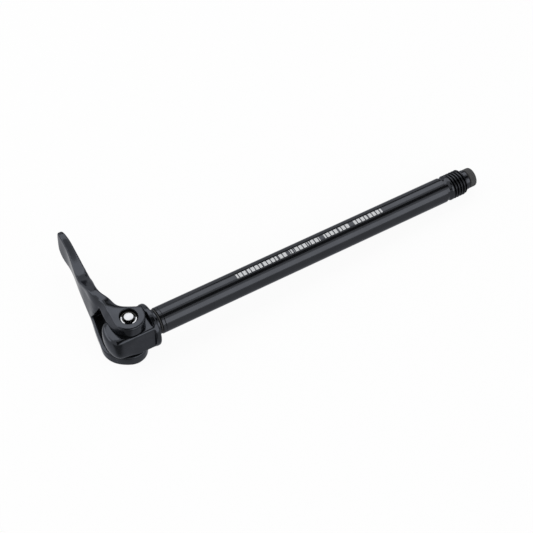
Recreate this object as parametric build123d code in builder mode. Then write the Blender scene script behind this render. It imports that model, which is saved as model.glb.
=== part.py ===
from build123d import *
import os
from math import cos, radians, sin

# A bicycle thru axle clamped by a cam lever. The axle lies along X with its thread at +X, the cam pin
# stands along Z, and the origin is the middle of the flange's clamping face.

# Axle, from the clamping face outwards
clamp_length = 163.0            # clamping face to the end of the thread
shaft_diameter = 11.9
shoulder_gap = 2.6              # clamping face to the axle's shoulder
seal_diameter = 11.3
seal_width = 0.6
line_distance = 1.7             # shoulder to the fine turned line
line_width = 0.35
line_depth = 0.22
thread_diameter = 12.0
thread_length = 9.6
thread_chamfer = 0.7
relief_diameter = 10.0
relief_length = 1.2
shaft_chamfer = 0.35
nose_diameter = 9.4
nose_length = 2.1
axle_bore_diameter = 6.0
axle_bore_floor = 14.0          # clamping face to the bottom of the bore

# Tip plug
plug_head_diameter = 9.1
plug_head_length = 4.0
plug_rounding = 0.7
plug_stem_length = 9.0

# Inner end of the axle, which slides in the housing
spigot_diameter = 10.0
spigot_clearance = 0.05         # on the radius
spigot_overrun = 5.6            # past the pin axis

# Clamp housing
flange_diameter = 19.4
flange_thickness = 2.5
flange_chamfer = 0.5
boss_length = 1.9
pin_setback = 10.6              # clamping face to the pin axis
housing_width = 14.6
housing_height = 13.9
back_radius = 11.7              # of the rounded back, about the pin axis
back_corner = 2.4
housing_chamfer = 0.7
back_chamfer = 1.6              # of the round back's upper and lower rims

# Cam pin and clip
cam_throw = 0.8
cam_diameter = 4.4
cam_play = 0.3                  # slot to eccentric, on each side
lever_travel = 120.0            # degrees
upper_journal_diameter = 4.4
lower_journal_diameter = 6.2
journal_clearance = 0.05        # on the radius, pin to bush
bush_wall = 0.8
pin_head_diameter = 7.6
pin_head_thickness = 1.6
pin_end_recess = 0.3            # ear top to the pin's end
pin_chamfer = 0.25
clip_groove_diameter = 3.4
clip_groove_width = 0.75
clip_thickness = 0.6
clip_diameter = 6.9
clip_mouth = 2.9
clip_band = 0.65                # width of the clip's ring
clip_prong = 1.1
clip_prong_angle = 68.0
clip_mouth_angle = -118.0
clip_play = 0.05

# Lever
fork_height = 25.7              # over the two ears
fork_gap = 14.3                 # between the ears
ear_radius = 7.0
counterbore_diameter = 7.9
counterbore_depth = 2.0
window_upper = 12.4             # pin axis to the end of the gap at the upper arm
window_lower = 20.4
ear_reach = 13.0                # pin axis to where the arms start to draw together
bend_reach = 14.0
root_reach = 23.0
crest_reach = 18.5              # where the upper edge starts to fall
shoulder_reach = 24.5
neck_reach = 31.3
paddle_reach = 49.0
blade_reach = 58.7
crest_height = 24.2
shoulder_height = 18.8
neck_height = 11.4
paddle_height = 14.8
upper_arm_offset = 6.2          # pin plane to the upper arm's outer edge
upper_bend = 5.6                # pull of the outer edge towards the root
crown_offset = 9.6              # the same two on the crease of the outer face
crown_bend = 9.0
crown_level = 2.0               # height of that crease
lower_arm_offset = 10.6
lower_bend = 10.2
heel_swell = 0.5                # of the lower arm from its outer to its inner edge
heel_angle_lower = -115.0       # where each arm's outer edge leaves the ear
heel_angle_crown = -125.0
heel_angle_upper = -150.0
heel_pull_lower = 7.5           # how straight the outer edge leaves it
heel_pull_crown = 5.5
heel_pull_upper = 2.5
ear_pull_lower = 2.0            # how straight the inner edge reaches the ear
ear_pull_upper = 5.0
ear_near_angle = 17.0           # where the ear's arc meets its far edge
ear_far_reach = 5.9
ear_far_offset = -0.4
widest_reach = 5.0
upper_hollow = 6.2              # pull of the inner edge towards the root
lower_hollow = 2.5
root_offset = 7.95
neck_lean = 0.5                 # of the blade's outer face, over half the fork's height
paddle_lean = 0.4
neck_offset = 7.65
paddle_offset = 4.7
tip_offset = 4.6
neck_thickness = 4.7
paddle_thickness = 2.7
tip_thickness = 2.6
tip_rounding = 1.0

pin_x = -pin_setback
spigot_end = pin_x - spigot_overrun
thread_start = clamp_length - thread_length
shaft_end = thread_start - relief_length
nose_end = clamp_length + nose_length
fork_half = fork_height / 2
gap_half = fork_gap / 2
axle_plane = Plane.XZ
housing_travel = cam_throw * (1 - cos(radians(lever_travel)))
r_seat = spigot_diameter / 2 + spigot_clearance
cam_sweep = cam_diameter / 2 + cam_throw
cam_top = (r_seat ** 2 - cam_sweep ** 2) ** 0.5 - 0.1

os.makedirs("parts", exist_ok=True)


with BuildPart() as axle_shaft:
    with BuildSketch(axle_plane):
        with BuildLine():
            r_spigot, r_shaft = spigot_diameter / 2, shaft_diameter / 2
            r_relief, r_thread, r_nose = relief_diameter / 2, thread_diameter / 2, nose_diameter / 2
            r_bore = axle_bore_diameter / 2
            line_x = shoulder_gap + line_distance
            Polyline(
                (spigot_end, 0), (spigot_end, r_spigot - 0.6), (spigot_end + 0.6, r_spigot),
                (shoulder_gap, r_spigot), (shoulder_gap, r_shaft - shaft_chamfer),
                (shoulder_gap + shaft_chamfer, r_shaft), (line_x - line_width / 2, r_shaft),
                (line_x, r_shaft - line_depth), (line_x + line_width / 2, r_shaft),
                (shaft_end - shaft_chamfer, r_shaft), (shaft_end, r_relief), (thread_start, r_relief),
                (thread_start + r_thread - r_relief, r_thread), (clamp_length - thread_chamfer, r_thread),
                (clamp_length, r_thread - thread_chamfer), (clamp_length, r_nose), (nose_end, r_nose),
                (nose_end, r_bore), (axle_bore_floor, r_bore), (axle_bore_floor - r_bore, 0), close=True)
        make_face()
    revolve(axis=Axis.X)
    # The cross slot that the eccentric draws on, and a longer one above it that clears the upper journal
    with BuildSketch(Plane.XY):
        with Locations((pin_x - cam_throw, 0)):
            slot_width = cam_diameter + 2 * cam_play
            SlotOverall(slot_width + 2 * cam_throw, slot_width, rotation=90)
    extrude(amount=spigot_diameter, both=True, mode=Mode.SUBTRACT)
    with BuildSketch(Plane.XY.offset(cam_top - cam_play)):
        with Locations((pin_x - housing_travel / 2, 0)):
            relief_width = upper_journal_diameter + 2 * cam_play
            SlotOverall(relief_width + housing_travel, relief_width)
    extrude(amount=spigot_diameter, mode=Mode.SUBTRACT)
axle_shaft.part.label = "axle_shaft"
export_step(axle_shaft.part, "parts/axle_shaft.step")


with BuildPart() as tip_plug:
    with BuildSketch(axle_plane):
        with BuildLine():
            plug_end = nose_end + plug_head_length
            r_plug, r_stem = plug_head_diameter / 2, axle_bore_diameter / 2
            Polyline(
                (nose_end - plug_stem_length, 0), (nose_end - plug_stem_length, r_stem - 0.5),
                (nose_end - plug_stem_length + 0.5, r_stem), (nose_end, r_stem), (nose_end, r_plug - 0.3),
                (nose_end + 0.3, r_plug), (plug_end - plug_rounding, r_plug),
                (plug_end - 0.3 * plug_rounding, r_plug - 0.3 * plug_rounding),
                (plug_end, r_plug - plug_rounding),
                (plug_end, 0), close=True)
        make_face()
    revolve(axis=Axis.X)
tip_plug.part.label = "tip_plug"
export_step(tip_plug.part, "parts/tip_plug.step")


with BuildPart() as seal_ring:
    with BuildSketch(axle_plane):
        with BuildLine():
            r_seal, seal_x = seal_diameter / 2, shoulder_gap - seal_width
            Polyline(
                (seal_x, r_spigot), (seal_x, r_seal - 0.15), (seal_x + 0.15, r_seal), (shoulder_gap, r_seal),
                (shoulder_gap, r_spigot), close=True)
        make_face()
    revolve(axis=Axis.X)
seal_ring.part.label = "seal_ring"
export_step(seal_ring.part, "parts/seal_ring.step")


with BuildPart() as clamp_housing:
    # The block is a round-backed outline, square at the flange
    with BuildSketch(Plane.XY):
        with BuildLine():
            half = housing_width / 2
            back_x = pin_x - (back_radius ** 2 - half ** 2) ** 0.5
            front_x = -flange_thickness / 2
            Polyline((back_x, -half), (front_x, -half), (front_x, half), (back_x, half))
            ThreePointArc((back_x, half), (pin_x - back_radius, 0), (back_x, -half))
        make_face()
    extrude(amount=housing_height / 2, both=True)
    fillet(clamp_housing.edges().filter_by(Axis.Z).group_by(Axis.X)[0], back_corner)
    rims = clamp_housing.faces().filter_by(Axis.Z).edges()
    chamfer(rims.filter_by(lambda e: e.center().X < -flange_thickness), housing_chamfer)
    # The rims of the round back are turned off about the pin axis
    with BuildSketch(Plane.YZ.offset(pin_x)):
        with BuildLine():
            top = housing_height / 2
            Polyline(
                (back_radius - back_chamfer, top), (back_radius, top - back_chamfer),
                (2 * back_radius, top - back_chamfer), (2 * back_radius, top), close=True)
        make_face()
        mirror(about=Plane.XZ)
    revolve(axis=Axis((pin_x, 0, 0), (0, 0, 1)), revolution_arc=180, mode=Mode.SUBTRACT)
    with BuildSketch(axle_plane):
        with BuildLine():
            r_flange = flange_diameter / 2
            Polyline(
                (-flange_thickness, 0), (-flange_thickness, r_flange - flange_chamfer),
                (flange_chamfer - flange_thickness, r_flange), (-flange_chamfer, r_flange),
                (0, r_flange - flange_chamfer), (0, 0), close=True)
        make_face()
    revolve(axis=Axis.X)
    with BuildSketch(Plane.YZ):
        Circle(r_shaft)
    extrude(amount=boss_length)
    # Blind bore for the axle's inner end
    seat_floor = spigot_end - 0.8
    with BuildSketch(Plane.YZ.offset(seat_floor)):
        Circle(r_seat)
    extrude(amount=boss_length - seat_floor, mode=Mode.SUBTRACT)
    # Stepped cross hole for the pin's bushes
    with BuildSketch(Plane.XY):
        with Locations((pin_x, 0)):
            Circle(upper_journal_diameter / 2 + bush_wall)
    extrude(amount=housing_height, mode=Mode.SUBTRACT)
    with BuildSketch(Plane.XY):
        with Locations((pin_x, 0)):
            Circle(lower_journal_diameter / 2 + bush_wall)
    extrude(amount=-housing_height, mode=Mode.SUBTRACT)
clamp_housing.part.label = "clamp_housing"
export_step(clamp_housing.part, "parts/clamp_housing.step")


with BuildPart() as upper_bush:
    with BuildSketch(Plane.XY):
        with Locations((pin_x, 0)):
            Circle(upper_journal_diameter / 2 + bush_wall)
            Circle(upper_journal_diameter / 2 + journal_clearance, mode=Mode.SUBTRACT)
    extrude(amount=housing_height / 2)
    with BuildSketch(Plane.YZ.offset(seat_floor)):
        Circle(r_seat)
    extrude(amount=-seat_floor, mode=Mode.SUBTRACT)
upper_bush.part.label = "upper_bush"
export_step(upper_bush.part, "parts/upper_bush.step")


with BuildPart() as lower_bush:
    with BuildSketch(Plane.XY):
        with Locations((pin_x, 0)):
            Circle(lower_journal_diameter / 2 + bush_wall)
            Circle(lower_journal_diameter / 2 + journal_clearance, mode=Mode.SUBTRACT)
    extrude(amount=-housing_height / 2)
    with BuildSketch(Plane.YZ.offset(seat_floor)):
        Circle(r_seat)
    extrude(amount=-seat_floor, mode=Mode.SUBTRACT)
lower_bush.part.label = "lower_bush"
export_step(lower_bush.part, "parts/lower_bush.step")


def lever_outline(level, outer, bend, hollow, heel_angle, heel_pull, ear_pull):
    """Plan outline of the lever at one height: ear arc, outer edge, tip, inner edge, the ear's far edge."""
    def at(along, offset):
        return Vector(pin_x - offset, along)

    def on_ear(angle):
        return at(ear_radius * sin(radians(angle)), -ear_radius * cos(radians(angle)))

    near, far, heel = on_ear(ear_near_angle), at(ear_far_reach, ear_far_offset), on_ear(heel_angle)
    leave = Vector(sin(radians(heel_angle)), -cos(radians(heel_angle)))
    widest, bend_pull, root = at(widest_reach, outer), at(bend_reach - 1.0, bend), at(root_reach, root_offset)
    lean = level / fork_half
    neck_outer = at(neck_reach, neck_offset + neck_lean * lean)
    paddle_outer = at(paddle_reach, paddle_offset + paddle_lean * lean)
    neck_inner = at(neck_reach, neck_offset - neck_thickness)
    tip_inner = at(blade_reach, tip_offset - tip_thickness)
    with BuildSketch(Plane.XY.offset(level)) as sketch:
        with BuildLine():
            ThreePointArc(near, on_ear((ear_near_angle + heel_angle) / 2), heel)
            Bezier(heel, heel + leave * heel_pull, widest - (bend_pull - widest) * 0.5, widest)
            Bezier(widest, bend_pull, at(bend_reach + 4.0, root_offset + 0.2), root)
            Spline(
                root, neck_outer, paddle_outer, at(blade_reach, tip_offset),
                tangents=((0.04, 1), (0.06, 1)))
            ThreePointArc(
                at(blade_reach, tip_offset), at(blade_reach + tip_rounding, tip_offset - tip_thickness / 2),
                tip_inner)
            Spline(
                tip_inner, at(paddle_reach, paddle_offset - paddle_thickness), neck_inner,
                tangents=((0, -1), (-0.15, -1)))
            Bezier(neck_inner, at(root_reach - 2.0, hollow), far - (near - far).normalized() * ear_pull, far)
            Line(far, near)
        make_face()
    return sketch.sketch


with BuildPart() as lever:
    swollen, swollen_bend = lower_arm_offset + heel_swell, lower_bend + heel_swell
    lower = (heel_angle_lower, heel_pull_lower, ear_pull_lower)
    crown = (heel_angle_crown, heel_pull_crown, ear_pull_lower)
    upper = (heel_angle_upper, heel_pull_upper, ear_pull_upper)
    levels = [
        lever_outline(-fork_half, lower_arm_offset, lower_bend, lower_hollow, *lower),
        lever_outline(-gap_half, swollen, swollen_bend, lower_hollow, *lower),
        lever_outline(crown_level, crown_offset, crown_bend, lower_hollow, *crown),
        lever_outline(fork_half, upper_arm_offset, upper_bend, upper_hollow, *upper)]
    loft(levels, ruled=True)
    # Side outline: arms that draw together, a shoulder, the neck, then a paddle with a round end
    with BuildSketch(Plane.YZ):
        with BuildLine():
            tall, crest, shoulder = fork_half, crest_height / 2, shoulder_height / 2
            neck, paddle = neck_height / 2, paddle_height / 2
            back_y, blade_end = -2 * ear_radius, blade_reach + tip_rounding
            Polyline((ear_reach, -tall), (back_y, -tall), (back_y, tall), (ear_reach, tall))
            Spline(
                (ear_reach, tall), (crest_reach, crest), (shoulder_reach, shoulder), (neck_reach, neck),
                (paddle_reach, paddle), (blade_end, 0), tangents=((1, 0), (0, -1)))
            Spline(
                (blade_end, 0), (paddle_reach, -paddle), (neck_reach, -neck), (shoulder_reach, -shoulder),
                (crest_reach, -crest), (ear_reach, -tall), tangents=((0, -1), (-1, 0)))
        make_face()
    extrude(amount=4 * back_radius, both=True, mode=Mode.INTERSECT)
    # Gap for the housing, its end slanted across the root
    with BuildSketch(Plane.YZ):
        with BuildLine():
            Polyline(
                (back_y, -gap_half), (window_lower, -gap_half), (window_upper, gap_half), (back_y, gap_half),
                close=True)
        make_face()
    extrude(amount=4 * back_radius, both=True, mode=Mode.SUBTRACT)
    with BuildSketch(Plane.XY):
        with Locations((pin_x, 0)):
            Circle(upper_journal_diameter / 2)
    extrude(amount=fork_height, mode=Mode.SUBTRACT)
    with BuildSketch(Plane.XY):
        with Locations((pin_x, 0)):
            Circle(lower_journal_diameter / 2)
    extrude(amount=-fork_height, mode=Mode.SUBTRACT)
    with BuildSketch(Plane.XY.offset(fork_half - counterbore_depth)):
        with Locations((pin_x, 0)):
            Circle(counterbore_diameter / 2)
    extrude(amount=fork_half, mode=Mode.SUBTRACT)
    with BuildSketch(Plane.XY.offset(counterbore_depth - fork_half)):
        with Locations((pin_x, 0)):
            Circle(counterbore_diameter / 2)
    extrude(amount=-fork_half, mode=Mode.SUBTRACT)
lever.part.label = "lever"
export_step(lever.part, "parts/lever.step")


with BuildPart() as cam_pin:
    head_z = counterbore_depth - fork_half
    pin_top = fork_half - pin_end_recess
    clip_floor = fork_half - counterbore_depth
    with BuildSketch(Plane.XY.offset(head_z - pin_head_thickness)):
        with Locations((pin_x, 0)):
            Circle(pin_head_diameter / 2)
    extrude(amount=pin_head_thickness)
    with BuildSketch(Plane.XY.offset(head_z)):
        with Locations((pin_x, 0)):
            Circle(lower_journal_diameter / 2)
    extrude(amount=-head_z - r_spigot)
    with BuildSketch(Plane.XY.offset(-r_spigot)):
        with Locations((pin_x - cam_throw, 0)):
            Circle(cam_diameter / 2)
    extrude(amount=cam_top + r_spigot)
    with BuildSketch(Plane.XY.offset(cam_top)):
        with Locations((pin_x, 0)):
            Circle(upper_journal_diameter / 2)
    extrude(amount=clip_floor - cam_top)
    with BuildSketch(Plane.XY.offset(clip_floor)):
        with Locations((pin_x, 0)):
            Circle(clip_groove_diameter / 2)
    extrude(amount=clip_groove_width)
    with BuildSketch(Plane.XY.offset(clip_floor + clip_groove_width)):
        with Locations((pin_x, 0)):
            Circle(upper_journal_diameter / 2)
    extrude(amount=pin_top - clip_floor - clip_groove_width)
    chamfer(cam_pin.edges().group_by(Axis.Z)[-1], pin_chamfer)
    chamfer(cam_pin.edges().group_by(Axis.Z)[0], pin_chamfer)
cam_pin.part.label = "cam_pin"
export_step(cam_pin.part, "parts/cam_pin.step")


with BuildPart() as retaining_clip:
    with BuildSketch(Plane.XY.offset(clip_floor + clip_play)):
        with Locations((pin_x, 0)):
            Circle(clip_diameter / 2)
            Circle(clip_diameter / 2 - clip_band, mode=Mode.SUBTRACT)
        prong_start, prong_end = clip_groove_diameter / 2 + clip_play, clip_diameter / 2 - clip_band / 2
        for turn in (180, clip_prong_angle, -clip_prong_angle):
            with Locations(Location((pin_x, 0), clip_mouth_angle + turn)):
                with Locations(((prong_start + prong_end) / 2, 0)):
                    Rectangle(prong_end - prong_start, clip_prong)
        with Locations(Location((pin_x, 0), clip_mouth_angle)):
            with Locations((clip_diameter / 2, 0)):
                Rectangle(clip_diameter, clip_mouth, mode=Mode.SUBTRACT)
    extrude(amount=clip_thickness)
retaining_clip.part.label = "retaining_clip"
export_step(retaining_clip.part, "parts/retaining_clip.step")
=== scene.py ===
import math

import bmesh
import bpy
import numpy as np
from bpy.props import FloatProperty, FloatVectorProperty, IntProperty, PointerProperty
from mathutils import Matrix, Vector


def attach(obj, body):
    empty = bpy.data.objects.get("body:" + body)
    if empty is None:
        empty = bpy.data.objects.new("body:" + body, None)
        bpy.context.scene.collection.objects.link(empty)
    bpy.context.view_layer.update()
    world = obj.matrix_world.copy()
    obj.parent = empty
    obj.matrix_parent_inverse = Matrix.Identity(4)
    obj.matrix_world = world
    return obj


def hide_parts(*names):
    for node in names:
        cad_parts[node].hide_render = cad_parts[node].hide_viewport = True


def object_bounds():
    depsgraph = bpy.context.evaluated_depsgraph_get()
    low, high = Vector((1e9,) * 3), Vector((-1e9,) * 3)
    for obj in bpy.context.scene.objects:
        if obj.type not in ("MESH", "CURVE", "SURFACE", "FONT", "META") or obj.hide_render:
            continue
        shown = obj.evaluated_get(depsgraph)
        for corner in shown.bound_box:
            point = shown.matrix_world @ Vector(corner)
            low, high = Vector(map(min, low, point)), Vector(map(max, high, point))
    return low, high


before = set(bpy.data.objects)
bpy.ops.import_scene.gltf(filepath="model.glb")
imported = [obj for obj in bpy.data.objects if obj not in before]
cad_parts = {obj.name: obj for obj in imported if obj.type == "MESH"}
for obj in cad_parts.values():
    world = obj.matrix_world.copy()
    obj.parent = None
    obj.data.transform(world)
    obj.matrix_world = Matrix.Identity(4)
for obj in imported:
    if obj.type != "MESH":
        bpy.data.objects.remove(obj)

bl_info = {
    "name": "Thru axle with a cam lever",
    "version": (1, 0, 0),
    "blender": (4, 5, 0),
    "location": "3D View > Sidebar > Thru axle",
    "description": "Dresses the packed thru axle: threaded shaft, ribbed plug, softened lever and housing",
    "category": "Object",
}

MM = 0.001
CAD_BOX = [list(corner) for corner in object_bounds()]
BLACK = (0, 0, 0, 1)
WHITE = (1, 1, 1, 1)

# Meshes: distances in metres, creases in degrees
MERGE = 1e-6  # points of a CAD mesh that are closer than this are one
SEAM = 1e-7  # the same for a new grid
SLIVER = 1e-8  # shorter edges are taken out of a new grid
CREASE = 50  # edges that turn more than this stay sharp
NO_CREASE = 180
FLAT = math.radians(1)  # faces of the clip that turn less than this are one
SHARP = math.radians(40)  # edges of the clip that turn more than this are rounded

# Turned and moulded pieces
SHAFT_COLUMNS = 192
PIN_COLUMNS = 96
COLUMNS_A_RIB = 8
CURVE_SHARE = 0.4  # the most of a side that a rounded corner takes
SUPPORT_SHARE = 0.48  # the same for the support point beside it
SUPPORT_REACH = 1.8  # how far that point is from the corner, in radii
STUB_LENGTH = 0.1 * MM  # of the stub that the spigot takes in
ROWS_A_PITCH = 20  # rows of the grid in one turn of the thread
CREST = 1 / 8  # width of the thread's crest, in pitches
ROOT = 1 / 4  # width of its root, in pitches
FLANK_SLOPE = math.tan(math.radians(60))
SLACK = 1e-9  # within this, two rows stand at the same place
STEM_CHAMFER = 0.5 * MM
PLUG_STEPS = 7  # steps of each rounded corner of the plug
RIB_FOOT = 0.84  # where the grooves fade out towards the plug's face, in head radii
RIB_FADE = 0.12  # over how much they fade, in head radii
PIN_PLACE = -10.6  # along X, in millimetres
PIN_END = ((1.0, 0.0), (0.25, 0.4), (0.0, 1.1))  # below the pin's top and in from its side, in chamfers

# The lever, in plan (X, Y) and as spans over which something fades in
SWELL_MIDDLE = np.array((-14.6, 12.1)) * MM  # on the upper arm's inner edge, ahead of the ear
SWELL_WAY = np.array((0.75, 0.66))  # from there straight out of that edge
FAR_WAY = np.array((0.35, 0.94))  # from the pin towards the upper ear's far rim
BLADE_ROOT = (20 * MM, 30 * MM)  # along Y
BLADE_TIP = (50 * MM, 58 * MM)  # along Y
ARM_TOP = (8 * MM, 12.8 * MM)  # along Z
FALL_SPAN = (-4.4 * MM, -0.4 * MM)  # across the upper arm
SOFT_SPAN = (-4.4 * MM, -1.4 * MM)  # across the upper arm
EAR_DEPTH = (5 * MM, 8 * MM)  # along Z, up or down
EAR_END = (3 * MM, 9 * MM)  # along Y, where the lower ear becomes the arm
EAR_RIM = (4.4 * MM, 6.4 * MM)  # out from the pin
EAR_FACE = (4.4 * MM, 6.0 * MM)  # out from the pin
FAR_SPAN = (2.5 * MM, 4.5 * MM)  # towards the far rim

# The housing
BLOCK_MIDDLE = np.array((-10.0, 0.0)) * MM  # in plan
TAPER_DEPTH = (0, 6.5 * MM)  # down from the axle's middle
TAPER_BACK = (12 * MM, 18 * MM)  # back from the flange
BLOCK_FRONT = (-15.0 * MM, -9.5 * MM)  # along X

# Finishes
SOFT = 0.15 * MM  # width of the soft edge between two finishes
GRAZING = (0.62, 0.63, 0.66, 1.0)  # how strongly the black anodised skin shines at a glancing angle
ANODISED = 0.88  # how metallic that skin is
GLOSS_ROUGH = 0.10
LEVER_ROUGH = 0.11
HOUSING_ROUGH = 0.09
STEEL_ROUGH = 0.16
PLUG_ROUGH = 0.5
RUBBER_ROUGH = 0.6
BUSH_ROUGH = 0.45
RINGED = 0.03  # roughness that turned rings add
MARKED = 0.05  # roughness that marks, grain and clouds add to black metal, and that polish takes away
UNEVEN = 0.12  # roughness that the steel's clouds and the resin's grain add
MATTE = 0.3  # roughness that ink and the painted shade at joints add
RING_RELIEF = 0.5  # of the pin's rings, beside its clouds
TURNING = (1.0, 0.02, 0.02)  # stretches a grain into rings round the shaft
SKIN_DEPTH = 0.02 * MM  # relief of the metal's grain
RESIN_DEPTH = 0.03 * MM  # relief of the resin's grain
ROOT_SHADE = 0.2  # painted shade: tone of the thread's roots, as a share of the shaft's
ROOT_DARK = (5.95 * MM, 5.6 * MM)  # radii between which the painted shade darkens the thread
ROOTS = (154.6 * MM, 163.0 * MM)  # along X
INK_HALF = 1.15 * MM  # half the height of the printed blocks
INK_ABOVE = 2.0 * MM  # they are above this height
INK_GROUPS = ((41.7, 67.3), (68.9, 84.4), (86.8, 100.4), (102.3, 118.4))  # along X, in millimetres
BLOCK_PITCH = 2.05 * MM  # from one block to the next
BLOCK_SHARE = 0.74  # of that pitch
SPLIT_PITCH = 7.9 * MM  # from one wider gap to the next
SPLIT_SHARE = 0.9  # of that pitch
WORN = (0.515, 0.60)  # how pointed an edge is where it starts to be polished, and where it is fully
WORN_SHARE = 0.6
RING_SIZE = 0.16 * MM  # the turned rings on the pin stand 2 pi times this apart
PIN_BRIGHT = (-1.0, 1.92)  # distances from the pin's axis, in millimetres, within which the steel is bright: from its middle on; outside them it gets painted shade
# the same span for the clip, outside which it gets painted shade too
CLIP_BRIGHT = (3.0, 9.0)
CLIP_BAND = 3.2 * MM  # width of the band that holds the clip's two bright crescents; outside it the clip gets painted shade
BAND_WAY = (0.494, 0.869)  # in plan, across that band
BAND_OFF = 1.1 * MM  # how far the band's middle is from the pin's axis
NO_BAND = 1.0  # wider than the part
JOINT_SHADE = (0.85 * MM, 0.65 * MM)  # distances from a joint between which painted shade sets in
JOINT_SHADE_TONE = 0.08  # tone of that painted shade, as a share of the resin's

# The floor's look in reflections, with painted shade, as spans along X and Y
LEFT_X = (-12 * MM, -45 * MM)
LEFT_Y = (-16 * MM, -2 * MM)
SHADE_X = (-12 * MM, -20 * MM)
SHADE_Y = (-4 * MM, -14 * MM)
PALE = 0.26  # painted shade: how far below white the floor is in reflections, under the shaft
SHADE = 0.5  # painted shade: how much darker it is in reflections at the front left
SHOWN = 0.94  # share of white that the camera sees; the rest is paint, which takes the shadow
FLOOR_ROUGH = 0.9
FLAG_TONE = (0.004, 0.004, 0.004, 1)

# The stage
EAR_FOOT = -3.6 * MM  # where the lower ear rests on the floor, along X
TIP_FOOT = (163.0 * MM, -6.0 * MM)  # where the thread's end rests on it, along X and Z
FLOOR_GAP = 0.02 * MM
HEAD_MIDDLE = Vector((-10 * MM, 10 * MM, 0))
HEAD_DISTANCE = 0.9  # of the light and the flag that face the head
SHAFT_MIDDLE = 0.08  # along X
SENSOR = 36.0  # width, in millimetres
CAMERA_RIGHT = Vector((0.85323, -0.52009, 0.03881))
CAMERA_UP = Vector((0.39191, 0.68848, 0.61025))
CAMERA_PLACE = (-0.158862, -0.317211, 0.499755)
CAMERA_START = 0.01  # what is nearer than this isn't seen

# Sockets of a Mix node that mixes colours
MIX_FACTOR, MIX_FIRST, MIX_SECOND, MIX_RESULT = 0, 6, 7, 2


def length(name, description, millimetres):
    """A length property in metres, written here in millimetres."""
    return FloatProperty(name=name, description=description, default=millimetres * MM, unit="LENGTH",
                         precision=5)


def colour(name, description, default):
    """A linear colour property."""
    return FloatVectorProperty(name=name, description=description, default=default, subtype="COLOR",
                               min=0, max=1)


def fraction(name, description, default):
    """A property between nothing and all."""
    return FloatProperty(name=name, description=description, default=default, subtype="FACTOR", min=0, max=1)


def number(name, description, default, least=0):
    """A property that counts."""
    return IntProperty(name=name, description=description, default=default, min=least)


def level(name, description, default):
    """A brightness property, of which 1 is white."""
    return FloatProperty(name=name, description=description, default=default, min=0)


class ShaftSizes(bpy.types.PropertyGroup):
    """Sizes of the turned shaft, measured along X from the flange's clamping face"""
    shoulder: length("Shoulder", "Where the shaft's full diameter starts", 2.6)
    radius: length("Shaft radius", "Radius of the plain shaft", 5.95)
    chamfer: length("Shaft chamfer", "Chamfer at both ends of the plain shaft", 0.35)
    line: length("Marking line", "Where the fine turned line is", 4.3)
    line_width: length("Line width", "Width of the turned line", 0.35)
    line_depth: length("Line depth", "Depth of the turned line", 0.22)
    relief_start: length("Relief start", "End of the plain shaft", 152.2)
    relief_radius: length("Relief radius", "Radius of the relief ahead of the thread", 5.0)
    thread_start: length("Thread start", "Start of the threaded end", 153.4)
    thread_end: length("Thread end", "End face of the threaded end", 163.0)
    thread_radius: length("Thread radius", "Radius over the thread's crests", 6.0)
    thread_chamfer: length("Thread chamfer", "Chamfer on the thread's end", 0.7)
    pitch: length("Thread pitch", "Advance of the thread in one turn", 1.5)
    collar: length("Collar", "Length of the slope and the plain collar ahead of the thread", 1.7)
    run_out: length("Thread run-out", "Length over which the groove fades in behind the collar", 0.8)
    nose_radius: length("Nose radius", "Radius of the plain nose", 4.7)
    nose_end: length("Nose end", "End of the plain nose", 165.1)
    bore_radius: length("Bore radius", "Radius of the blind bore that the plug closes", 3.0)
    bore_floor: length("Bore floor", "Where the bore's cone starts", 14.0)
    spigot_cut: length("Spigot cut", "Where the spigot is let into the shaft", 2.55)
    stub_radius: length("Stub radius", "Radius of the stub that the spigot takes in", 4.9)
    edge: length("Edge radius", "Rounding of the turned edges", 0.12)


class PlugSizes(bpy.types.PropertyGroup):
    """Sizes of the ribbed plug in the axle's tip"""
    stem_start: length("Stem start", "Inner end of the plug's stem", 156.1)
    stem_radius: length("Stem radius", "Radius of the plug's stem", 3.0)
    head_start: length("Head start", "Where the head meets the nose", 165.1)
    head_end: length("Head end", "Outer end of the head", 169.1)
    head_radius: length("Head radius", "Radius over the ribs", 4.55)
    rounding: length("Rim rounding", "Rounding of the outer rim", 0.75)
    joint: length("Joint", "Chamfer of the head where it meets the nose", 0.4)
    rib_depth: length("Rib depth", "Depth of the grooves between the ribs", 0.14)
    ribs: number("Ribs", "Number of ribs round the head", 32, 3)


class PinSizes(bpy.types.PropertyGroup):
    """Sizes of the cam pin, along Z from the axle's middle"""
    place: length("Pin place", "The pin's place along X", PIN_PLACE)
    throw: length("Throw", "How far the eccentric stands off the pin's axis", 0.8)
    head_bottom: length("Head bottom", "Outer face of the pin's head", -12.45)
    head_top: length("Head top", "Inner face of the pin's head", -10.85)
    head_radius: length("Head radius", "Radius of the pin's head", 3.8)
    lower_radius: length("Lower journal", "Radius of the lower journal", 3.1)
    cam_bottom: length("Eccentric bottom", "Lower end of the eccentric", -5.0)
    cam_top: length("Eccentric top", "Upper end of the eccentric", 3.96)
    cam_radius: length("Eccentric radius", "Radius of the eccentric", 2.2)
    upper_radius: length("Upper journal", "Radius of the upper journal", 2.2)
    groove_bottom: length("Groove bottom", "Lower side of the clip's groove", 10.85)
    groove_top: length("Groove top", "Upper side of the clip's groove", 11.6)
    groove_radius: length("Groove radius", "Radius at the groove's floor", 1.7)
    top: length("Pin top", "Upper end of the pin", 12.55)
    chamfer: length("Pin chamfer", "Chamfer at the pin's ends", 0.3)


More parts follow.
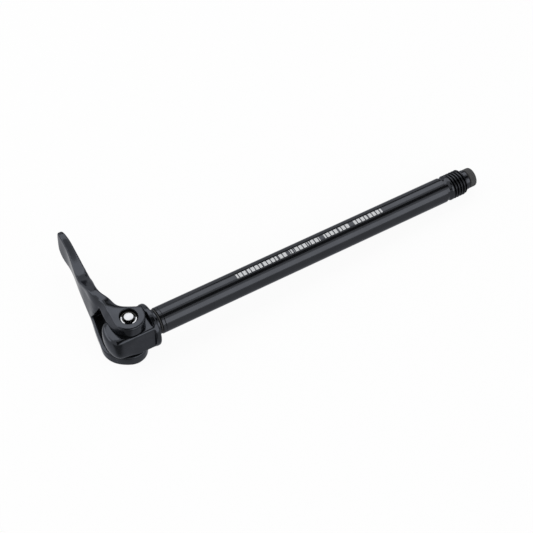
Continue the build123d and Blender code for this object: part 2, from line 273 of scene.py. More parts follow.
class CastSizes(bpy.types.PropertyGroup):
    """How the lever, the housing and the clip are shaped and softened"""
    lever_grain: length("Lever cell", "Cell of the mesh that carries the lever's soft edges", 0.24)
    lever_rounds: number("Lever rounds", "Rounds of softening on the lever", 70)
    ear_share: fraction("Ear share", "Share of that softening off the upper arm", 0.45)
    arm_reach: length("Arm reach", "Reach of the upper arm's fall and full softening", 6.5)
    rim_share: fraction("Rim share", "Share of that softening at the counterbores", 0.05)
    swell: length("Shoulder swell", "How far the upper arm's inner edge swells ahead of the ear", 1.7)
    blade_swell: length("Blade swell", "How far the blade's inner side stands out past the solid", 0.7)
    ear_swell: length("Ear swell", "How far the ears' rims stand out past the solid", 0.6)
    swell_reach: length("Swell reach", "Reach of the shoulder's swell", 4.4)
    arm_fall: length("Arm fall", "How far the upper arm's top falls towards its inner edge", 1.6)
    housing_grain: length("Housing cell", "Cell of the mesh that carries the housing's soft edges", 0.22)
    housing_rounds: number("Housing rounds", "Rounds of softening on the housing", 300)
    taper: length("Housing taper", "How far the lower half of the round back draws in", 0.9)
    front_share: fraction("Front share", "Share of that softening at the flange", 0.04)
    clip_edge: length("Clip edge", "Rounding of the stamped clip's edges", 0.1)


class FinishColours(bpy.types.PropertyGroup):
    """Colours of the finishes"""
    gloss: colour("Gloss black", "Anodised shaft", (0.0355, 0.0375, 0.0425))
    satin: colour("Satin black", "Lever and housing", (0.0340, 0.0365, 0.0425))
    worn: colour("Worn edge", "Where handling has polished the satin black", (0.070, 0.074, 0.083))
    steel: colour("Bright steel", "Cam pin and clip", (0.355, 0.362, 0.375))
    # painted shade: the near-black that the pin and the clip get outside their bright spans
    painted_shade: colour("Painted shade", "Dark parts of the pin and the clip", (0.012, 0.012, 0.011))
    resin: colour("Grey resin", "Ribbed plug", (0.0163, 0.0164, 0.0178))
    bush: colour("Bush resin", "Bearing bushes", (0.028, 0.030, 0.032))
    rubber: colour("Rubber", "Seal ring", (0.010, 0.010, 0.011))
    ink: colour("Pale ink", "Plain printed blocks on the shaft", (0.56, 0.57, 0.58))


class StageSizes(bpy.types.PropertyGroup):
    """Floor, lights and camera"""
    floor_side: length("Floor side", "Side of the square floor", 6000.0)
    floor_tone: colour("Floor", "Colour of the floor", (0.86, 0.86, 0.86))
    strip_length: length("Light length", "Length of the strip lights", 1800.0)
    back_light: level("Back light", "Brightness of the light behind", 1.6)
    front_light: level("Front light", "Brightness of the light in front", 1.6)
    side_light: level("Side light", "Brightness of the low light at the side", 2.0)
    fill: level("Fill", "Brightness of the surroundings", 0.35)
    lens: FloatProperty(name="Lens", description="Focal length in millimetres, on a sensor 36 mm wide",
                        default=96.88, min=1, unit="CAMERA")


def rounded(points, radius, steps=4):
    """A profile with its corners rounded.

    Each inner corner gives way to a quadratic curve between two points on its sides. They are as far from
    the corner as the radius, or as a set share of the side if that is less. Outside them, each side keeps a
    support point close to the curve's end.
    """
    p = np.asarray(points, float)
    here = p[1:-1]

    def along(side, reach, most):
        far = np.linalg.norm(side, axis=1, keepdims=True)
        return here + side / far * np.minimum(reach, most * far)

    back, ahead = p[:-2] - here, p[2:] - here
    a, b = along(back, radius, CURVE_SHARE), along(ahead, radius, CURVE_SHARE)
    t = np.linspace(0, 1, steps + 1)[None, :, None]
    curve = (1 - t) ** 2 * a[:, None] + 2 * t * (1 - t) * here[:, None] + t ** 2 * b[:, None]
    lead = along(back, SUPPORT_REACH * radius, SUPPORT_SHARE)
    trail = along(ahead, SUPPORT_REACH * radius, SUPPORT_SHARE)
    rows = np.concatenate([lead[:, None], curve, trail[:, None]], axis=1).reshape(-1, 2)
    return np.concatenate([p[:1], rows, p[-1:]])


def ring_faces(rows, columns):
    """Quads of a grid whose columns close on themselves: each joins two rows and two columns."""
    i, j = np.meshgrid(np.arange(rows - 1), np.arange(columns), indexing="ij")
    k = (j + 1) % columns
    here, above = i * columns, (i + 1) * columns
    return np.stack([here + j, here + k, above + k, above + j], axis=-1).reshape(-1, 4)


def mesh_of(name, points, faces):
    """A mesh from a grid of points, with poles and seams merged and faces turned outwards."""
    mesh = bpy.data.meshes.new(name)
    mesh.from_pydata(points.reshape(-1, 3).tolist(), [], faces.tolist())
    body = bmesh.new()
    body.from_mesh(mesh)
    bmesh.ops.remove_doubles(body, verts=body.verts, dist=SEAM)
    bmesh.ops.dissolve_degenerate(body, edges=body.edges, dist=SLIVER)
    bmesh.ops.recalc_face_normals(body, faces=body.faces)
    body.to_mesh(mesh)
    body.free()
    return mesh


def place_piece(name, mesh, body, node, finish, crease=CREASE):
    """Puts a finished mesh into the scene, riding on a body in place of a CAD node."""
    mesh.shade_smooth()
    mesh.set_sharp_from_angle(angle=math.radians(crease))
    piece = bpy.data.objects.new(name, mesh)
    bpy.context.scene.collection.objects.link(piece)
    mesh.materials.clear()
    mesh.materials.append(finish)
    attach(piece, body)
    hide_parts(node)
    return piece


class Wire:
    """An output socket of a node tree, on which + - * / and the like add Math nodes."""

    def __init__(self, nodes, socket):
        self.nodes = nodes
        self.socket = socket

    def maths(self, operation, *values):
        """A Math node on values and wires."""
        return self.nodes.node("ShaderNodeMath", {"operation": operation}, dict(enumerate(values)))

    def __add__(self, other):
        return self.maths("ADD", self, other)

    def __sub__(self, other):
        return self.maths("SUBTRACT", self, other)

    def __rsub__(self, other):
        return self.maths("SUBTRACT", other, self)

    def __mul__(self, other):
        return self.maths("MULTIPLY", self, other)

    def __truediv__(self, other):
        return self.maths("DIVIDE", self, other)

    def __rtruediv__(self, other):
        return self.maths("DIVIDE", other, self)

    __radd__, __rmul__ = __add__, __mul__

    def below(self, edge):
        return self.maths("LESS_THAN", self, edge)

    def above(self, edge):
        return self.maths("GREATER_THAN", self, edge)

    def size(self):
        return self.maths("ABSOLUTE", self)

    def part(self):
        return self.maths("FRACT", self)

    def root(self):
        return self.maths("SQRT", self)

    def wave(self):
        return self.maths("SINE", self)

    def ramp(self, low, high):
        """0 at low, 1 at high, with soft ends."""
        return self.nodes.node("ShaderNodeMapRange", {"interpolation_type": "SMOOTHSTEP"},
                               {"Value": self, "From Min": low, "From Max": high})


class Nodes:
    """A node tree, with one method that adds any node."""

    def __init__(self, tree):
        self.tree = tree

    def link(self, socket, value):
        """Gives a socket a wire or a plain value."""
        if isinstance(value, Wire):
            self.tree.links.new(value.socket, socket)
        else:
            socket.default_value = value

    def node(self, kind, settings, inputs, output=0):
        """A node of any kind: its settings first, then the values or wires of its sockets."""
        made = self.tree.nodes.new(kind)
        for key, value in settings.items():
            setattr(made, key, value)
        for key, value in inputs.items():
            self.link(made.inputs[key], value)
        return Wire(self, made.outputs[output])

    def rays(self):
        """Three wires, which are 1 on rays from the camera, in reflections and through glass."""
        outputs = self.node("ShaderNodeLightPath", {}, {}).socket.node.outputs
        return [Wire(self, outputs[f"Is {kind} Ray"]) for kind in ("Camera", "Glossy", "Transmission")]


class Finish(Nodes):
    """A procedural material: one Principled shader and the nodes that feed it."""

    def __init__(self, name, **constants):
        self.material = bpy.data.materials.new(name)
        self.material.use_nodes = True
        super().__init__(self.material.node_tree)
        self.shader = self.tree.nodes["Principled BSDF"]
        self.feed(**constants)

    def feed(self, **values):
        """Gives the shader's sockets their wires or plain values, and returns the material."""
        for socket, value in values.items():
            self.link(self.shader.inputs[socket.replace("_", " ")], value)
        return self.material

    def place(self):
        """Object coordinates, in metres, as a vector."""
        return self.node("ShaderNodeTexCoord", {}, {}, "Object")

    def axes(self, vector):
        """The three parts of a vector."""
        made = self.node("ShaderNodeSeparateXYZ", {}, {0: vector})
        return [Wire(self, socket) for socket in made.socket.node.outputs]

    def scaled(self, vector, scale):
        return self.node("ShaderNodeVectorMath", {"operation": "MULTIPLY"}, {0: vector, 1: scale})

    def noise(self, vector, scale, detail=2.0, roughness=0.5):
        return self.node("ShaderNodeTexNoise", {},
                         {"Vector": vector, "Scale": scale, "Detail": detail, "Roughness": roughness})

    def blend(self, factor, first, second):
        """Two colours mixed by a factor."""
        return self.node("ShaderNodeMix", {"data_type": "RGBA"},
                         {MIX_FACTOR: factor, MIX_FIRST: first, MIX_SECOND: second}, MIX_RESULT)

    def clouded(self, cloud, tone, thin, full):
        """A tone that goes from one gain to another with a cloud."""
        return self.blend(cloud, rgba(tone, thin), rgba(tone, full))

    def bump(self, height, strength, distance):
        return self.node("ShaderNodeBump", {}, {"Height": height, "Strength": strength, "Distance": distance})


def rgba(value, gain=1.0):
    """A colour property as a socket's value, made lighter or darker by a gain."""
    return (value[0] * gain, value[1] * gain, value[2] * gain, 1.0)


def gloss_black(colours):
    """Gloss anodised shaft: rings left by turning, faint handling marks and painted shade in the thread
    roots.

    A row of plain printed blocks runs along its top.
    """
    f = Finish("gloss_black_anodised", Specular_Tint=GRAZING)
    place = f.place()
    x, y, z = f.axes(place)
    rings = f.noise(f.scaled(place, TURNING), scale=5200.0, detail=3.0)
    marks = f.noise(place, scale=90.0, detail=4.0, roughness=0.6)
    row = y.size().below(INK_HALF) * z.above(INK_ABOVE)
    groups = sum(x.above(start * MM) * x.below(end * MM) for start, end in INK_GROUPS)
    block = (x / BLOCK_PITCH).part().below(BLOCK_SHARE)
    split = (x / SPLIT_PITCH).part().below(SPLIT_SHARE)
    ink = row * groups * block * split
    # painted shade in the thread's roots, darker towards the root radius
    groove = (y * y + z * z).root().ramp(*ROOT_DARK) * x.above(ROOTS[0]) * x.below(ROOTS[1])
    tone = f.clouded(marks.ramp(low=0.3, high=0.75), colours.gloss, thin=0.94, full=1.08)
    root_shaded = f.blend(groove, tone, rgba(colours.gloss, ROOT_SHADE))
    return f.feed(
        Base_Color=f.blend(ink, root_shaded, rgba(colours.ink)),
        Metallic=ANODISED - ink * ANODISED,
        Roughness=GLOSS_ROUGH + rings * RINGED + marks * MARKED + ink * MATTE,
        Normal=f.bump(rings, strength=0.06, distance=SKIN_DEPTH))


def satin_black(colours, name, rough):
    """Satin black on forged and machined aluminium: fine grain, slow tone changes and polished edges."""
    f = Finish(name, Metallic=ANODISED, Specular_Tint=GRAZING)
    place = f.place()
    grain = f.noise(place, scale=7000.0)
    cloud = f.noise(place, scale=160.0, detail=3.0)
    edge = f.node("ShaderNodeNewGeometry", {}, {}, "Pointiness").ramp(*WORN)
    tone = f.clouded(cloud.ramp(low=0.25, high=0.75), colours.satin, thin=0.92, full=1.08)
    return f.feed(
        Base_Color=f.blend(edge * WORN_SHARE, tone, rgba(colours.worn)),
        Roughness=rough + grain * MARKED + cloud * MARKED - edge * MARKED,
        Normal=f.bump(grain, strength=0.03, distance=SKIN_DEPTH))


def bright_steel(colours, name, span, band=NO_BAND):
    """Steel that is bright within a span of distances from the pin's axis, with painted shade elsewhere.

    It has turned rings. Outside a band of the width given, which holds the clip's two bright crescents, it
    gets the same painted shade.
    """
    f = Finish(name, Metallic=1.0)
    place = f.place()
    x, y, _ = f.axes(place)
    x = x - PIN_PLACE * MM
    near, far = span
    out = (x * x + y * y).root()
    rings = (out / RING_SIZE).wave()
    cloud = f.noise(place, scale=500.0, detail=3.0)
    tone = f.clouded(cloud.ramp(low=0.3, high=0.7), colours.steel, thin=0.9, full=1.0)
    # the steel is bright only within the span and the band; elsewhere it gets painted shade
    within = out.ramp(near * MM - SOFT, near * MM) * out.ramp(far * MM + SOFT, far * MM)
    across = (x * BAND_WAY[0] + y * BAND_WAY[1] + BAND_OFF).size()
    bright = within * across.ramp(band / 2 + SOFT, band / 2 - SOFT)
    return f.feed(
        Base_Color=f.blend(bright, rgba(colours.painted_shade), tone),
        Roughness=STEEL_ROUGH + cloud * UNEVEN,
        Normal=f.bump(rings * RING_RELIEF + cloud, strength=0.05, distance=SKIN_DEPTH))


def moulded_resin(name, tone, rough, joint=0.0):
    """Moulded resin or rubber: a matte skin with a fine grain, and painted shade at a joint.

    The joint is a place along X, and without one it is the flange's face, beside the seal.
    """
    f = Finish(name)
    place = f.place()
    grain = f.noise(place, scale=5200.0, detail=3.0, roughness=0.6)
    cloud = f.noise(place, scale=300.0)
    skin = f.clouded(cloud.ramp(low=0.3, high=0.7), tone, thin=0.88, full=1.12)
    # painted shade in the gap at the joint, darker close to it
    joint_shade = (f.axes(place)[0] - joint).size().ramp(*JOINT_SHADE)
    return f.feed(
        Base_Color=f.blend(joint_shade, skin, rgba(tone, JOINT_SHADE_TONE)),
        Roughness=rough + grain * UNEVEN + joint_shade * MATTE,
        Normal=f.bump(grain, strength=0.06, distance=RESIN_DEPTH))


class AXLE_OT_shaft(bpy.types.Operator):
    """Turn the shaft and cut its thread"""
    bl_idname = "thru_axle.shaft"
    bl_label = "Turned shaft"

    def execute(self, context):
        s = context.scene.thru_shaft
        groove = s.line_width / 2
        outline = rounded([
            (s.shoulder - STUB_LENGTH, 0), (s.shoulder - STUB_LENGTH, s.stub_radius),
            (s.shoulder, s.stub_radius), (s.shoulder, s.radius - s.chamfer),
            (s.shoulder + s.chamfer, s.radius), (s.line - groove, s.radius),
            (s.line, s.radius - s.line_depth), (s.line + groove, s.radius),
            (s.relief_start - s.chamfer, s.radius), (s.relief_start, s.relief_radius),
            (s.thread_start, s.relief_radius),
            (s.thread_start + s.thread_radius - s.relief_radius, s.thread_radius),
            (s.thread_end - s.thread_chamfer, s.thread_radius),
            (s.thread_end, s.thread_radius - s.thread_chamfer),
            (s.thread_end, s.nose_radius), (s.nose_end, s.nose_radius), (s.nose_end, s.bore_radius),
            (s.bore_floor, s.bore_radius), (s.bore_floor - s.bore_radius, 0)], s.edge)
        mesh = mesh_of("turned_shaft", *self.threaded(s, outline, SHAFT_COLUMNS))
        joined = self.spigot(s.spigot_cut)
        joined.from_mesh(mesh)
        joined.to_mesh(mesh)
        joined.free()
        finish = gloss_black(context.scene.thru_colours)
        place_piece("turned_shaft", mesh, "axle", "axle_shaft", finish)
        return {"FINISHED"}

    @staticmethod
    def threaded(s, outline, columns):
        """The outline turned about X, with a thread cut into it.

        Rows are added along the threaded length, a set number to the pitch. The radius is the outline's, or
        the thread's where that is smaller: the crest's radius less a trapezoid wave of the distance along the
        axis minus the pitch times the turn, with a crest an eighth of the pitch wide, flanks at 60 degrees
        and a root a quarter wide, faded in over the run-out.
        """
        top = outline[:, 0].argmax()
        outer, inner = outline[:top + 1], outline[top + 1:]
        start = s.thread_start + s.collar
        cut = (outer[:, 0] > start) & (outer[:, 0] < s.thread_end + SLACK)
        fine = np.arange(start, s.thread_end, s.pitch / ROWS_A_PITCH)
        wall = np.stack([fine, np.interp(fine, outer[:, 0], outer[:, 1])], axis=1)
        end_face = outer[cut & (outer[:, 1] < s.thread_radius - s.thread_chamfer - SLACK)]
        first, last = outer[outer[:, 0] <= start], outer[outer[:, 0] > s.thread_end + SLACK]
        rows = np.concatenate([first, wall, end_face, last, inner])
        turn = np.arange(columns) / columns
        along, reach = rows[:, :1], rows[:, 1:]
        wave = np.abs((along / s.pitch - turn + 0.5) % 1 - 0.5)
        flank = (1 - CREST - ROOT) / 2
        depth = np.clip((wave - CREST / 2) / flank, 0, 1) * flank * s.pitch * FLANK_SLOPE
        fade = np.clip((along - start) / s.run_out, 0, 1)
        inside = (along > s.thread_start) & (along < s.thread_end) & (reach > s.nose_radius)
        radius = np.where(inside, np.minimum(reach, s.thread_radius - depth * fade), reach)
        angle = 2 * math.pi * turn
        grid = np.broadcast_arrays(along, radius * np.cos(angle), radius * np.sin(angle))
        return np.stack(grid, axis=-1), ring_faces(len(rows), columns)

    @staticmethod
    def spigot(cut):
        """The CAD shaft's slotted spigot, merged and closed at the cut, which the housing hides."""
        body = bmesh.new()
        body.from_mesh(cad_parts["axle_shaft"].data)
        bmesh.ops.remove_doubles(body, verts=body.verts, dist=MERGE)
        bmesh.ops.bisect_plane(body, geom=body.verts[:] + body.edges[:] + body.faces[:], dist=SEAM,
                               plane_co=(cut, 0, 0), plane_no=(1, 0, 0), clear_outer=True)
        bmesh.ops.holes_fill(body, edges=[e for e in body.edges if e.is_boundary], sides=0)
        if any(e.is_boundary for e in body.edges):
            raise RuntimeError("the spigot isn't closed")
        return body


class AXLE_OT_plug(bpy.types.Operator):
    """Mould the ribbed plug in the tip"""
    bl_idname = "thru_axle.plug"
    bl_label = "Ribbed plug"

    def execute(self, context):
        s = context.scene.thru_plug
        outline = rounded([
            (s.stem_start, 0), (s.stem_start, s.stem_radius - STEM_CHAMFER),
            (s.stem_start + STEM_CHAMFER, s.stem_radius), (s.head_start, s.stem_radius),
            (s.head_start, s.head_radius - s.joint), (s.head_start + s.joint, s.head_radius),
            (s.head_end, s.head_radius), (s.head_end, 0)], s.rounding, PLUG_STEPS)
        mesh = mesh_of("ribbed_plug", *self.ribbed(s, outline, COLUMNS_A_RIB * s.ribs))
        finish = moulded_resin("grey_resin", context.scene.thru_colours.resin, PLUG_ROUGH, s.head_start)
        place_piece("ribbed_plug", mesh, "axle", "tip_plug", finish)
        return {"FINISHED"}

    @staticmethod
    def ribbed(s, outline, columns):
        """The outline turned about X, its radius less a cosine of the turn times the number of ribs.

        The grooves are full along the head's side and fade out with the radius towards its rim and its face.
        """
        turn = np.arange(columns) / columns
        along, reach = outline[:, :1], outline[:, 1:]
        full = np.clip((reach - RIB_FOOT * s.head_radius) / (RIB_FADE * s.head_radius), 0, 1)
        groove = s.rib_depth * full * (0.5 - 0.5 * np.cos(2 * math.pi * s.ribs * turn))
        radius, angle = reach - groove, 2 * math.pi * turn
        grid = np.broadcast_arrays(along, radius * np.cos(angle), radius * np.sin(angle))
        return np.stack(grid, axis=-1), ring_faces(len(outline), columns)


class AXLE_OT_pin(bpy.types.Operator):
    """Turn the cam pin with its eccentric"""
    bl_idname = "thru_axle.pin"
    bl_label = "Cam pin"

    def execute(self, context):
        s = context.scene.thru_pin
        end = [(s.top - below * s.chamfer, s.upper_radius - inside * s.chamfer, 0)
               for below, inside in PIN_END]
        outline = np.array([
            (s.head_bottom, 0, 0), (s.head_bottom, s.head_radius - s.chamfer, 0),
            (s.head_bottom + s.chamfer, s.head_radius, 0), (s.head_top, s.head_radius, 0),
            (s.head_top, s.lower_radius, 0), (s.cam_bottom, s.lower_radius, 0),
            (s.cam_bottom, s.cam_radius, s.throw), (s.cam_top, s.cam_radius, s.throw),
            (s.cam_top, s.upper_radius, 0), (s.groove_bottom, s.upper_radius, 0),
            (s.groove_bottom, s.groove_radius, 0), (s.groove_top, s.groove_radius, 0),
            (s.groove_top, s.upper_radius, 0), *end, (s.top, 0, 0)])
        mesh = mesh_of("cam_pin_turned", *self.stepped(s.place, outline, PIN_COLUMNS))
        finish = bright_steel(context.scene.thru_colours, "bright_steel", PIN_BRIGHT)
        place_piece("cam_pin_turned", mesh, "lever", "cam_pin", finish)
        return {"FINISHED"}

    @staticmethod
    def stepped(place, outline, columns):
        """Circles stacked along Z, each with its own radius and its own distance off the pin's axis to -X."""
        angle = 2 * math.pi * np.arange(columns) / columns
        height, radius, off = outline[:, :1], outline[:, 1:2], outline[:, 2:]
        grid = np.broadcast_arrays(place - off + radius * np.cos(angle), radius * np.sin(angle), height)
        return np.stack(grid, axis=-1), ring_faces(len(outline), columns)


def even_cells(piece, cell):
    """Live modifiers that merge a CAD mesh's triangles and rebuild it in even cells."""
    piece.modifiers.new("merge", "WELD").merge_threshold = MERGE
    even = piece.modifiers.new("even_cells", "REMESH")
    even.mode, even.voxel_size, even.use_smooth_shade = "VOXEL", cell, True


def softened(node, cell, rounds, shape):
    """A CAD node's solid in even cells, shaped and with its edges rounded.

    The shape moves the points and gives each its share of the softening. Each round of softening moves every
    point by half its share towards the mean of its neighbours.
    """
    rough = bpy.data.objects.new("rough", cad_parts[node].data)
    bpy.context.scene.collection.objects.link(rough)
    even_cells(rough, cell)
    made = rough.evaluated_get(bpy.context.evaluated_depsgraph_get())
    mesh = bpy.data.meshes.new_from_object(made)
    bpy.data.objects.remove(rough)
    points = np.empty(3 * len(mesh.vertices))
    mesh.vertices.foreach_get("co", points)
    points = points.reshape(-1, 3)
    outward = np.empty(3 * len(mesh.vertices))
    mesh.vertex_normals.foreach_get("vector", outward)
    ends = np.empty(2 * len(mesh.edges), int)
    mesh.edges.foreach_get("vertices", ends)
    one, other = ends.reshape(-1, 2).T
    share = 0.5 * shape(points, outward.reshape(-1, 3))[:, None]
    neighbours = np.bincount(ends, minlength=len(points))[:, None]
    for _ in range(rounds):
        total = [np.bincount(one, axis[other], len(points)) + np.bincount(other, axis[one], len(points))
                 for axis in points.T]
        points += share * (np.stack(total, axis=1) / neighbours - points)
    mesh.vertices.foreach_set("co", points.ravel())
    mesh.update()
    return mesh


def step(values, span):
    """0 below a span, 1 above it and a smooth cubic between."""
    low, high = span
    t = np.clip((values - low) / (high - low), 0, 1)
    return t * t * (3 - 2 * t)


def dress(node, finish):
    """Gives a CAD node its finish in every material slot."""
    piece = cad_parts[node]
    piece.data.materials.clear()
    piece.data.materials.append(finish)


class AXLE_OT_cast(bpy.types.Operator):
    """Soften the lever and the housing and give them their satin black"""
    bl_idname = "thru_axle.cast"
    bl_label = "Lever and housing"

    def execute(self, context):
        s, colours, pin = context.scene.thru_cast, context.scene.thru_colours, context.scene.thru_pin.place
        lever = softened("lever", s.lever_grain, s.lever_rounds, self.swollen(s, pin))
        place_piece("forged_lever", lever, "lever", "lever",
                    satin_black(colours, "satin_black_lever", LEVER_ROUGH), NO_CREASE)
        housing = softened("clamp_housing", s.housing_grain, s.housing_rounds, self.round_back(s))
        place_piece("forged_housing", housing, "housing", "clamp_housing",
                    satin_black(colours, "satin_black_housing", HOUSING_ROUGH), NO_CREASE)
        return {"FINISHED"}

    @staticmethod
    def swollen(s, pin):
        """The lever's swell and softening.

        The blade's inner side moves out along X, fading towards both of its ends. The upper arm's top falls
        towards its inner edge, by a soft step across the arm times a bell curve of the distance from the
        shoulder's middle. The shoulder's swell moves points of the upper arm outwards in plan by its size
        times a narrower bell curve. The ears' swell moves the rim of the lower ear and the far rim of the
        upper one straight out from the pin. The softening is full on the inner edge of the upper arm and
        falls off in a bell curve to the ears' share elsewhere, and to the rims' share close to the pin, where
        the counterbores keep their edges.
        """
        def shape(points, outward):
            blade = step(points[:, 1], BLADE_ROOT) * (1 - step(points[:, 1], BLADE_TIP))
            points[:, 0] += s.blade_swell * blade * outward[:, 0].clip(0)
            from_middle = points[:, :2] - SWELL_MIDDLE
            far, inward = np.linalg.norm(from_middle, axis=1), from_middle @ SWELL_WAY
            upper = points[:, 2] > 0
            arm = np.exp(-(far / s.arm_reach) ** 2) * upper
            points[:, 2] -= s.arm_fall * arm * step(points[:, 2], ARM_TOP) * step(inward, FALL_SPAN)
            shoulder = s.swell * np.exp(-(far / s.swell_reach) ** 2) * upper
            points[:, :2] += shoulder[:, None] * SWELL_WAY
            spoke = points[:, :2] - (pin, 0)
            out = np.hypot(*spoke.T)
            low = step(-points[:, 2], EAR_DEPTH) * (1 - step(points[:, 1], EAR_END))
            far_side = step(points[:, 2], EAR_DEPTH) * step(spoke @ FAR_WAY, FAR_SPAN)
            rim = s.ear_swell * step(out, EAR_RIM) * np.maximum(low, far_side)
            points[:, :2] += (rim / out.clip(MM))[:, None] * spoke
            off_rim = (s.ear_share - s.rim_share) * step(out, EAR_FACE)
            return s.rim_share + off_rim + (1 - s.ear_share) * arm * step(inward, SOFT_SPAN)
        return shape

    @staticmethod
    def round_back(s):
        """The housing's taper and softening.

        The lower half of the round back draws in towards the block's middle by the taper times soft steps of
        the depth and of the distance along the axle. The softening is full on the round back, and a share of
        that from the block's front to the flange.
        """
        def shape(points, _):
            spoke = points[:, :2] - BLOCK_MIDDLE
            inward = step(-points[:, 2], TAPER_DEPTH) * step(-points[:, 0], TAPER_BACK)
            points[:, :2] -= (s.taper * inward / np.hypot(*spoke.T).clip(MM))[:, None] * spoke
            return 1 - (1 - s.front_share) * step(points[:, 0], BLOCK_FRONT)
        return shape


class AXLE_OT_fittings(bpy.types.Operator):
    """Finish the clip, the seal and the bushes"""
    bl_idname = "thru_axle.fittings"
    bl_label = "Clip, seal and bushes"

    def execute(self, context):
        s, colours = context.scene.thru_cast, context.scene.thru_colours
        steel = bright_steel(colours, "spring_steel", CLIP_BRIGHT, CLIP_BAND)
        clip = place_piece("spring_clip", self.stamped("retaining_clip", s.clip_edge), "lever",
                           "retaining_clip", steel)
        clip.modifiers.new("flat_faces", "WEIGHTED_NORMAL").keep_sharp = True
        dress("seal_ring", moulded_resin("seal_rubber", colours.rubber, RUBBER_ROUGH))
        bush = moulded_resin("bush_resin", colours.bush, BUSH_ROUGH)
        dress("upper_bush", bush)
        dress("lower_bush", bush)
        return {"FINISHED"}

    @staticmethod
    def stamped(node, edge):
        """A copy of a CAD mesh, merged, with the rounded edges that stamping leaves."""
        body = bmesh.new()
        body.from_mesh(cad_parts[node].data)
        bmesh.ops.remove_doubles(body, verts=body.verts, dist=MERGE)
        bmesh.ops.dissolve_limit(body, angle_limit=FLAT, verts=body.verts, edges=body.edges)
        sharp = [e for e in body.edges if e.calc_face_angle(0) > SHARP]
        bmesh.ops.bevel(body, geom=sharp, offset=edge, segments=2, profile=0.5, affect="EDGES",
                        clamp_overlap=True)
        mesh = bpy.data.meshes.new("spring_clip")
        body.to_mesh(mesh)
        body.free()
        return mesh


def white_ground(paint_tone):
    """The floor's material: white to the camera, with a share of plain paint that keeps the shadow.

    In reflections it carries painted shade: it is white at the left of the head, pale under the shaft and
    dark at the front left, where the head's own shade would fall.
    """
    f = Finish("pale_floor", Base_Color=rgba(paint_tone), Roughness=FLOOR_ROUGH, Specular_IOR_Level=0.0)
    camera, glossy, transmission = f.rays()
    x, y, _ = f.axes(f.place())
    left = x.ramp(*LEFT_X) * y.ramp(*LEFT_Y)
    shade = x.ramp(*SHADE_X) * y.ramp(*SHADE_Y)
    seen = camera * SHOWN + glossy + transmission
    # painted shade on the floor as it is seen in reflections
    tone = 1 - glossy * (PALE - left * PALE + shade * SHADE)
    white = f.node("ShaderNodeEmission", {}, {"Color": f.blend(tone, BLACK, WHITE), "Strength": 1.0})
    paint = Wire(f, f.shader.outputs["BSDF"])
    mix = f.node("ShaderNodeMixShader", {}, {0: seen, 1: paint, 2: white})
    f.link(f.tree.nodes["Material Output"].inputs["Surface"], mix)
    return f.material


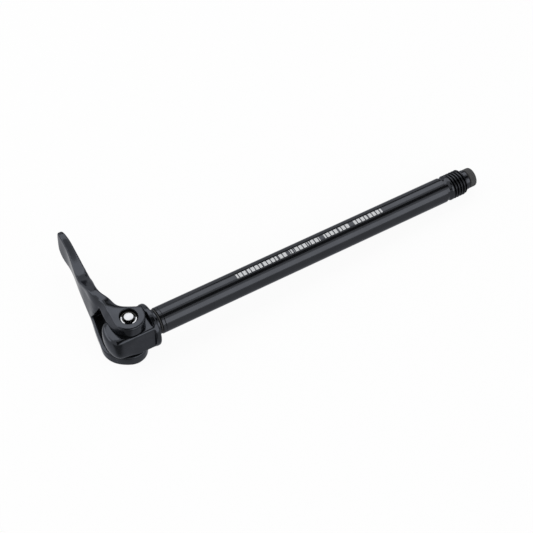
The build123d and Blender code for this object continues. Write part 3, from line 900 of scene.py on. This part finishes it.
class AXLE_OT_stage(bpy.types.Operator):
    """Lay the floor, hang the lights and set up the camera"""
    bl_idname = "thru_axle.stage"
    bl_label = "Stage"

    def execute(self, context):
        s = context.scene.thru_stage
        strip = s.strip_length
        self.floor(s)
        self.surroundings(s)
        self.lamp("back_light", self.facing(angle=123, far=0.80), s.back_light, strip, across=0.56)
        self.lamp("front_light", self.facing(angle=26, far=0.85), s.front_light, strip, across=0.60)
        self.flag("dark_flag", self.facing(angle=75, far=1.0), strip, across=0.46)
        self.flag("far_flag", self.facing(angle=155, far=1.0, along=0.68), side=0.70, across=0.20)
        self.lamp("side_light", self.toward(azimuth=145, elevation=13), s.side_light, side=0.85, across=0.50)
        self.flag("camera_flag", self.toward(azimuth=-125, elevation=42), side=0.80, across=1.40)
        self.camera(s)
        context.scene.view_settings.view_transform = "Standard"
        return {"FINISHED"}

    @staticmethod
    def sheet(name, side, across, where):
        """A flat grid of two parameters over a rectangle, in its place."""
        u, v = np.meshgrid(np.linspace(-side / 2, side / 2, 2), np.linspace(-across / 2, across / 2, 2))
        flat = np.stack([u, v, 0 * u, 0 * u + 1], axis=-1).reshape(-1, 4)
        mesh = bpy.data.meshes.new(name)
        mesh.from_pydata((flat @ np.array(where).T)[:, :3].tolist(), [], [(0, 1, 3, 2)])
        made = bpy.data.objects.new(name, mesh)
        bpy.context.scene.collection.objects.link(made)
        return made

    def floor(self, s):
        """The floor touches the lower ear and the thread, as the axle comes to rest."""
        ear, tip = Vector((EAR_FOOT, 0, CAD_BOX[0][2])), Vector((TIP_FOOT[0], 0, TIP_FOOT[1]))
        slope = math.atan2(tip.z - ear.z, tip.x - ear.x)
        where = Matrix.Translation(ear - Vector((0, 0, FLOOR_GAP))) @ Matrix.Rotation(-slope, 4, "Y")
        made = self.sheet("floor", s.floor_side, s.floor_side, where)
        made.data.materials.append(white_ground(s.floor_tone))

    @staticmethod
    def surroundings(s):
        """White to camera and reflections, and a low fill for everything else."""
        world = bpy.data.worlds.new("white_room")
        world.use_nodes = True
        bpy.context.scene.world = world
        nodes = Nodes(world.node_tree)
        total = s.fill
        for ray in nodes.rays():
            total = nodes.node("ShaderNodeMath", {"operation": "ADD", "use_clamp": True}, {0: ray, 1: total})
        background = nodes.tree.nodes["Background"].inputs
        nodes.link(background["Color"], WHITE)
        nodes.link(background["Strength"], total)

    @staticmethod
    def facing(angle, far, along=SHAFT_MIDDLE):
        """A place round the shaft, facing it: the angle is 0 at -Y, 90 over the top and 180 degrees at +Y."""
        a = math.radians(angle)
        out = Vector((0, -math.cos(a), math.sin(a)))
        side = Vector((1, 0, 0))
        turn = Matrix((side, out.cross(side), out)).transposed().to_4x4()
        return Matrix.Translation(Vector((along, 0, 0)) + out * far) @ turn

    @staticmethod
    def toward(azimuth, elevation):
        """A place round the head, facing it: the azimuth is 0 at +X and 90 degrees at +Y."""
        a, e = math.radians(azimuth), math.radians(elevation)
        out = Vector((math.cos(a) * math.cos(e), math.sin(a) * math.cos(e), math.sin(e)))
        side = Vector((-math.sin(a), math.cos(a), 0))
        turn = Matrix((side, out.cross(side), out)).transposed().to_4x4()
        return Matrix.Translation(HEAD_MIDDLE + HEAD_DISTANCE * out) @ turn

    @staticmethod
    def lamp(name, where, brightness, side, across):
        """A soft rectangular light, whose power gives it the brightness asked for."""
        lamp = bpy.data.lights.new(name, "AREA")
        lamp.shape, lamp.size, lamp.size_y = "RECTANGLE", side, across
        lamp.energy = brightness * math.pi * side * across
        made = bpy.data.objects.new(name, lamp)
        bpy.context.scene.collection.objects.link(made)
        made.matrix_world = where

    def flag(self, name, where, side, across):
        """A dark flag, seen only in reflections, where it draws a dark stripe."""
        made = self.sheet(name, side, across, where)
        made.data.materials.append(Finish("flag_cloth", Base_Color=FLAG_TONE, Roughness=1.0).material)
        made.visible_camera = made.visible_diffuse = made.visible_shadow = made.visible_transmission = False

    @staticmethod
    def camera(s):
        """The camera stands where the photograph was taken from, left of and above the lever."""
        lens = bpy.data.cameras.new("camera")
        lens.lens, lens.sensor_width, lens.clip_start = s.lens, SENSOR, CAMERA_START
        made = bpy.data.objects.new("camera", lens)
        bpy.context.scene.collection.objects.link(made)
        back = CAMERA_RIGHT.cross(CAMERA_UP)
        turn = Matrix((CAMERA_RIGHT, CAMERA_UP, back)).transposed().to_4x4()
        made.matrix_world = Matrix.Translation(CAMERA_PLACE) @ turn
        bpy.context.scene.camera = made


class AXLE_PT_panel(bpy.types.Panel):
    """Pieces of the thru axle"""
    bl_idname = "AXLE_PT_panel"
    bl_label = "Thru axle"
    bl_space_type = "VIEW_3D"
    bl_region_type = "UI"
    bl_category = "Thru axle"

    def draw(self, context):
        """One button for each operator."""
        for operator in OPERATORS:
            self.layout.operator(operator.bl_idname)


OPERATORS = (AXLE_OT_shaft, AXLE_OT_plug, AXLE_OT_pin, AXLE_OT_cast, AXLE_OT_fittings, AXLE_OT_stage)
GROUPS = {"thru_shaft": ShaftSizes, "thru_plug": PlugSizes, "thru_pin": PinSizes, "thru_cast": CastSizes,
          "thru_colours": FinishColours, "thru_stage": StageSizes}


def register():
    """Registers the sizes and colours, the operators and the panel."""
    for kind in (*GROUPS.values(), *OPERATORS, AXLE_PT_panel):
        bpy.utils.register_class(kind)
    for name, kind in GROUPS.items():
        setattr(bpy.types.Scene, name, PointerProperty(type=kind))


def unregister():
    """Takes all of that away again."""
    for name in GROUPS:
        delattr(bpy.types.Scene, name)
    for kind in reversed((*GROUPS.values(), *OPERATORS, AXLE_PT_panel)):
        bpy.utils.unregister_class(kind)


def main():
    """Builds the pieces and the stage in order."""
    register()
    bpy.ops.thru_axle.shaft()
    bpy.ops.thru_axle.plug()
    bpy.ops.thru_axle.pin()
    bpy.ops.thru_axle.cast()
    bpy.ops.thru_axle.fittings()
    bpy.ops.thru_axle.stage()


if __name__ == "__main__":
    main()
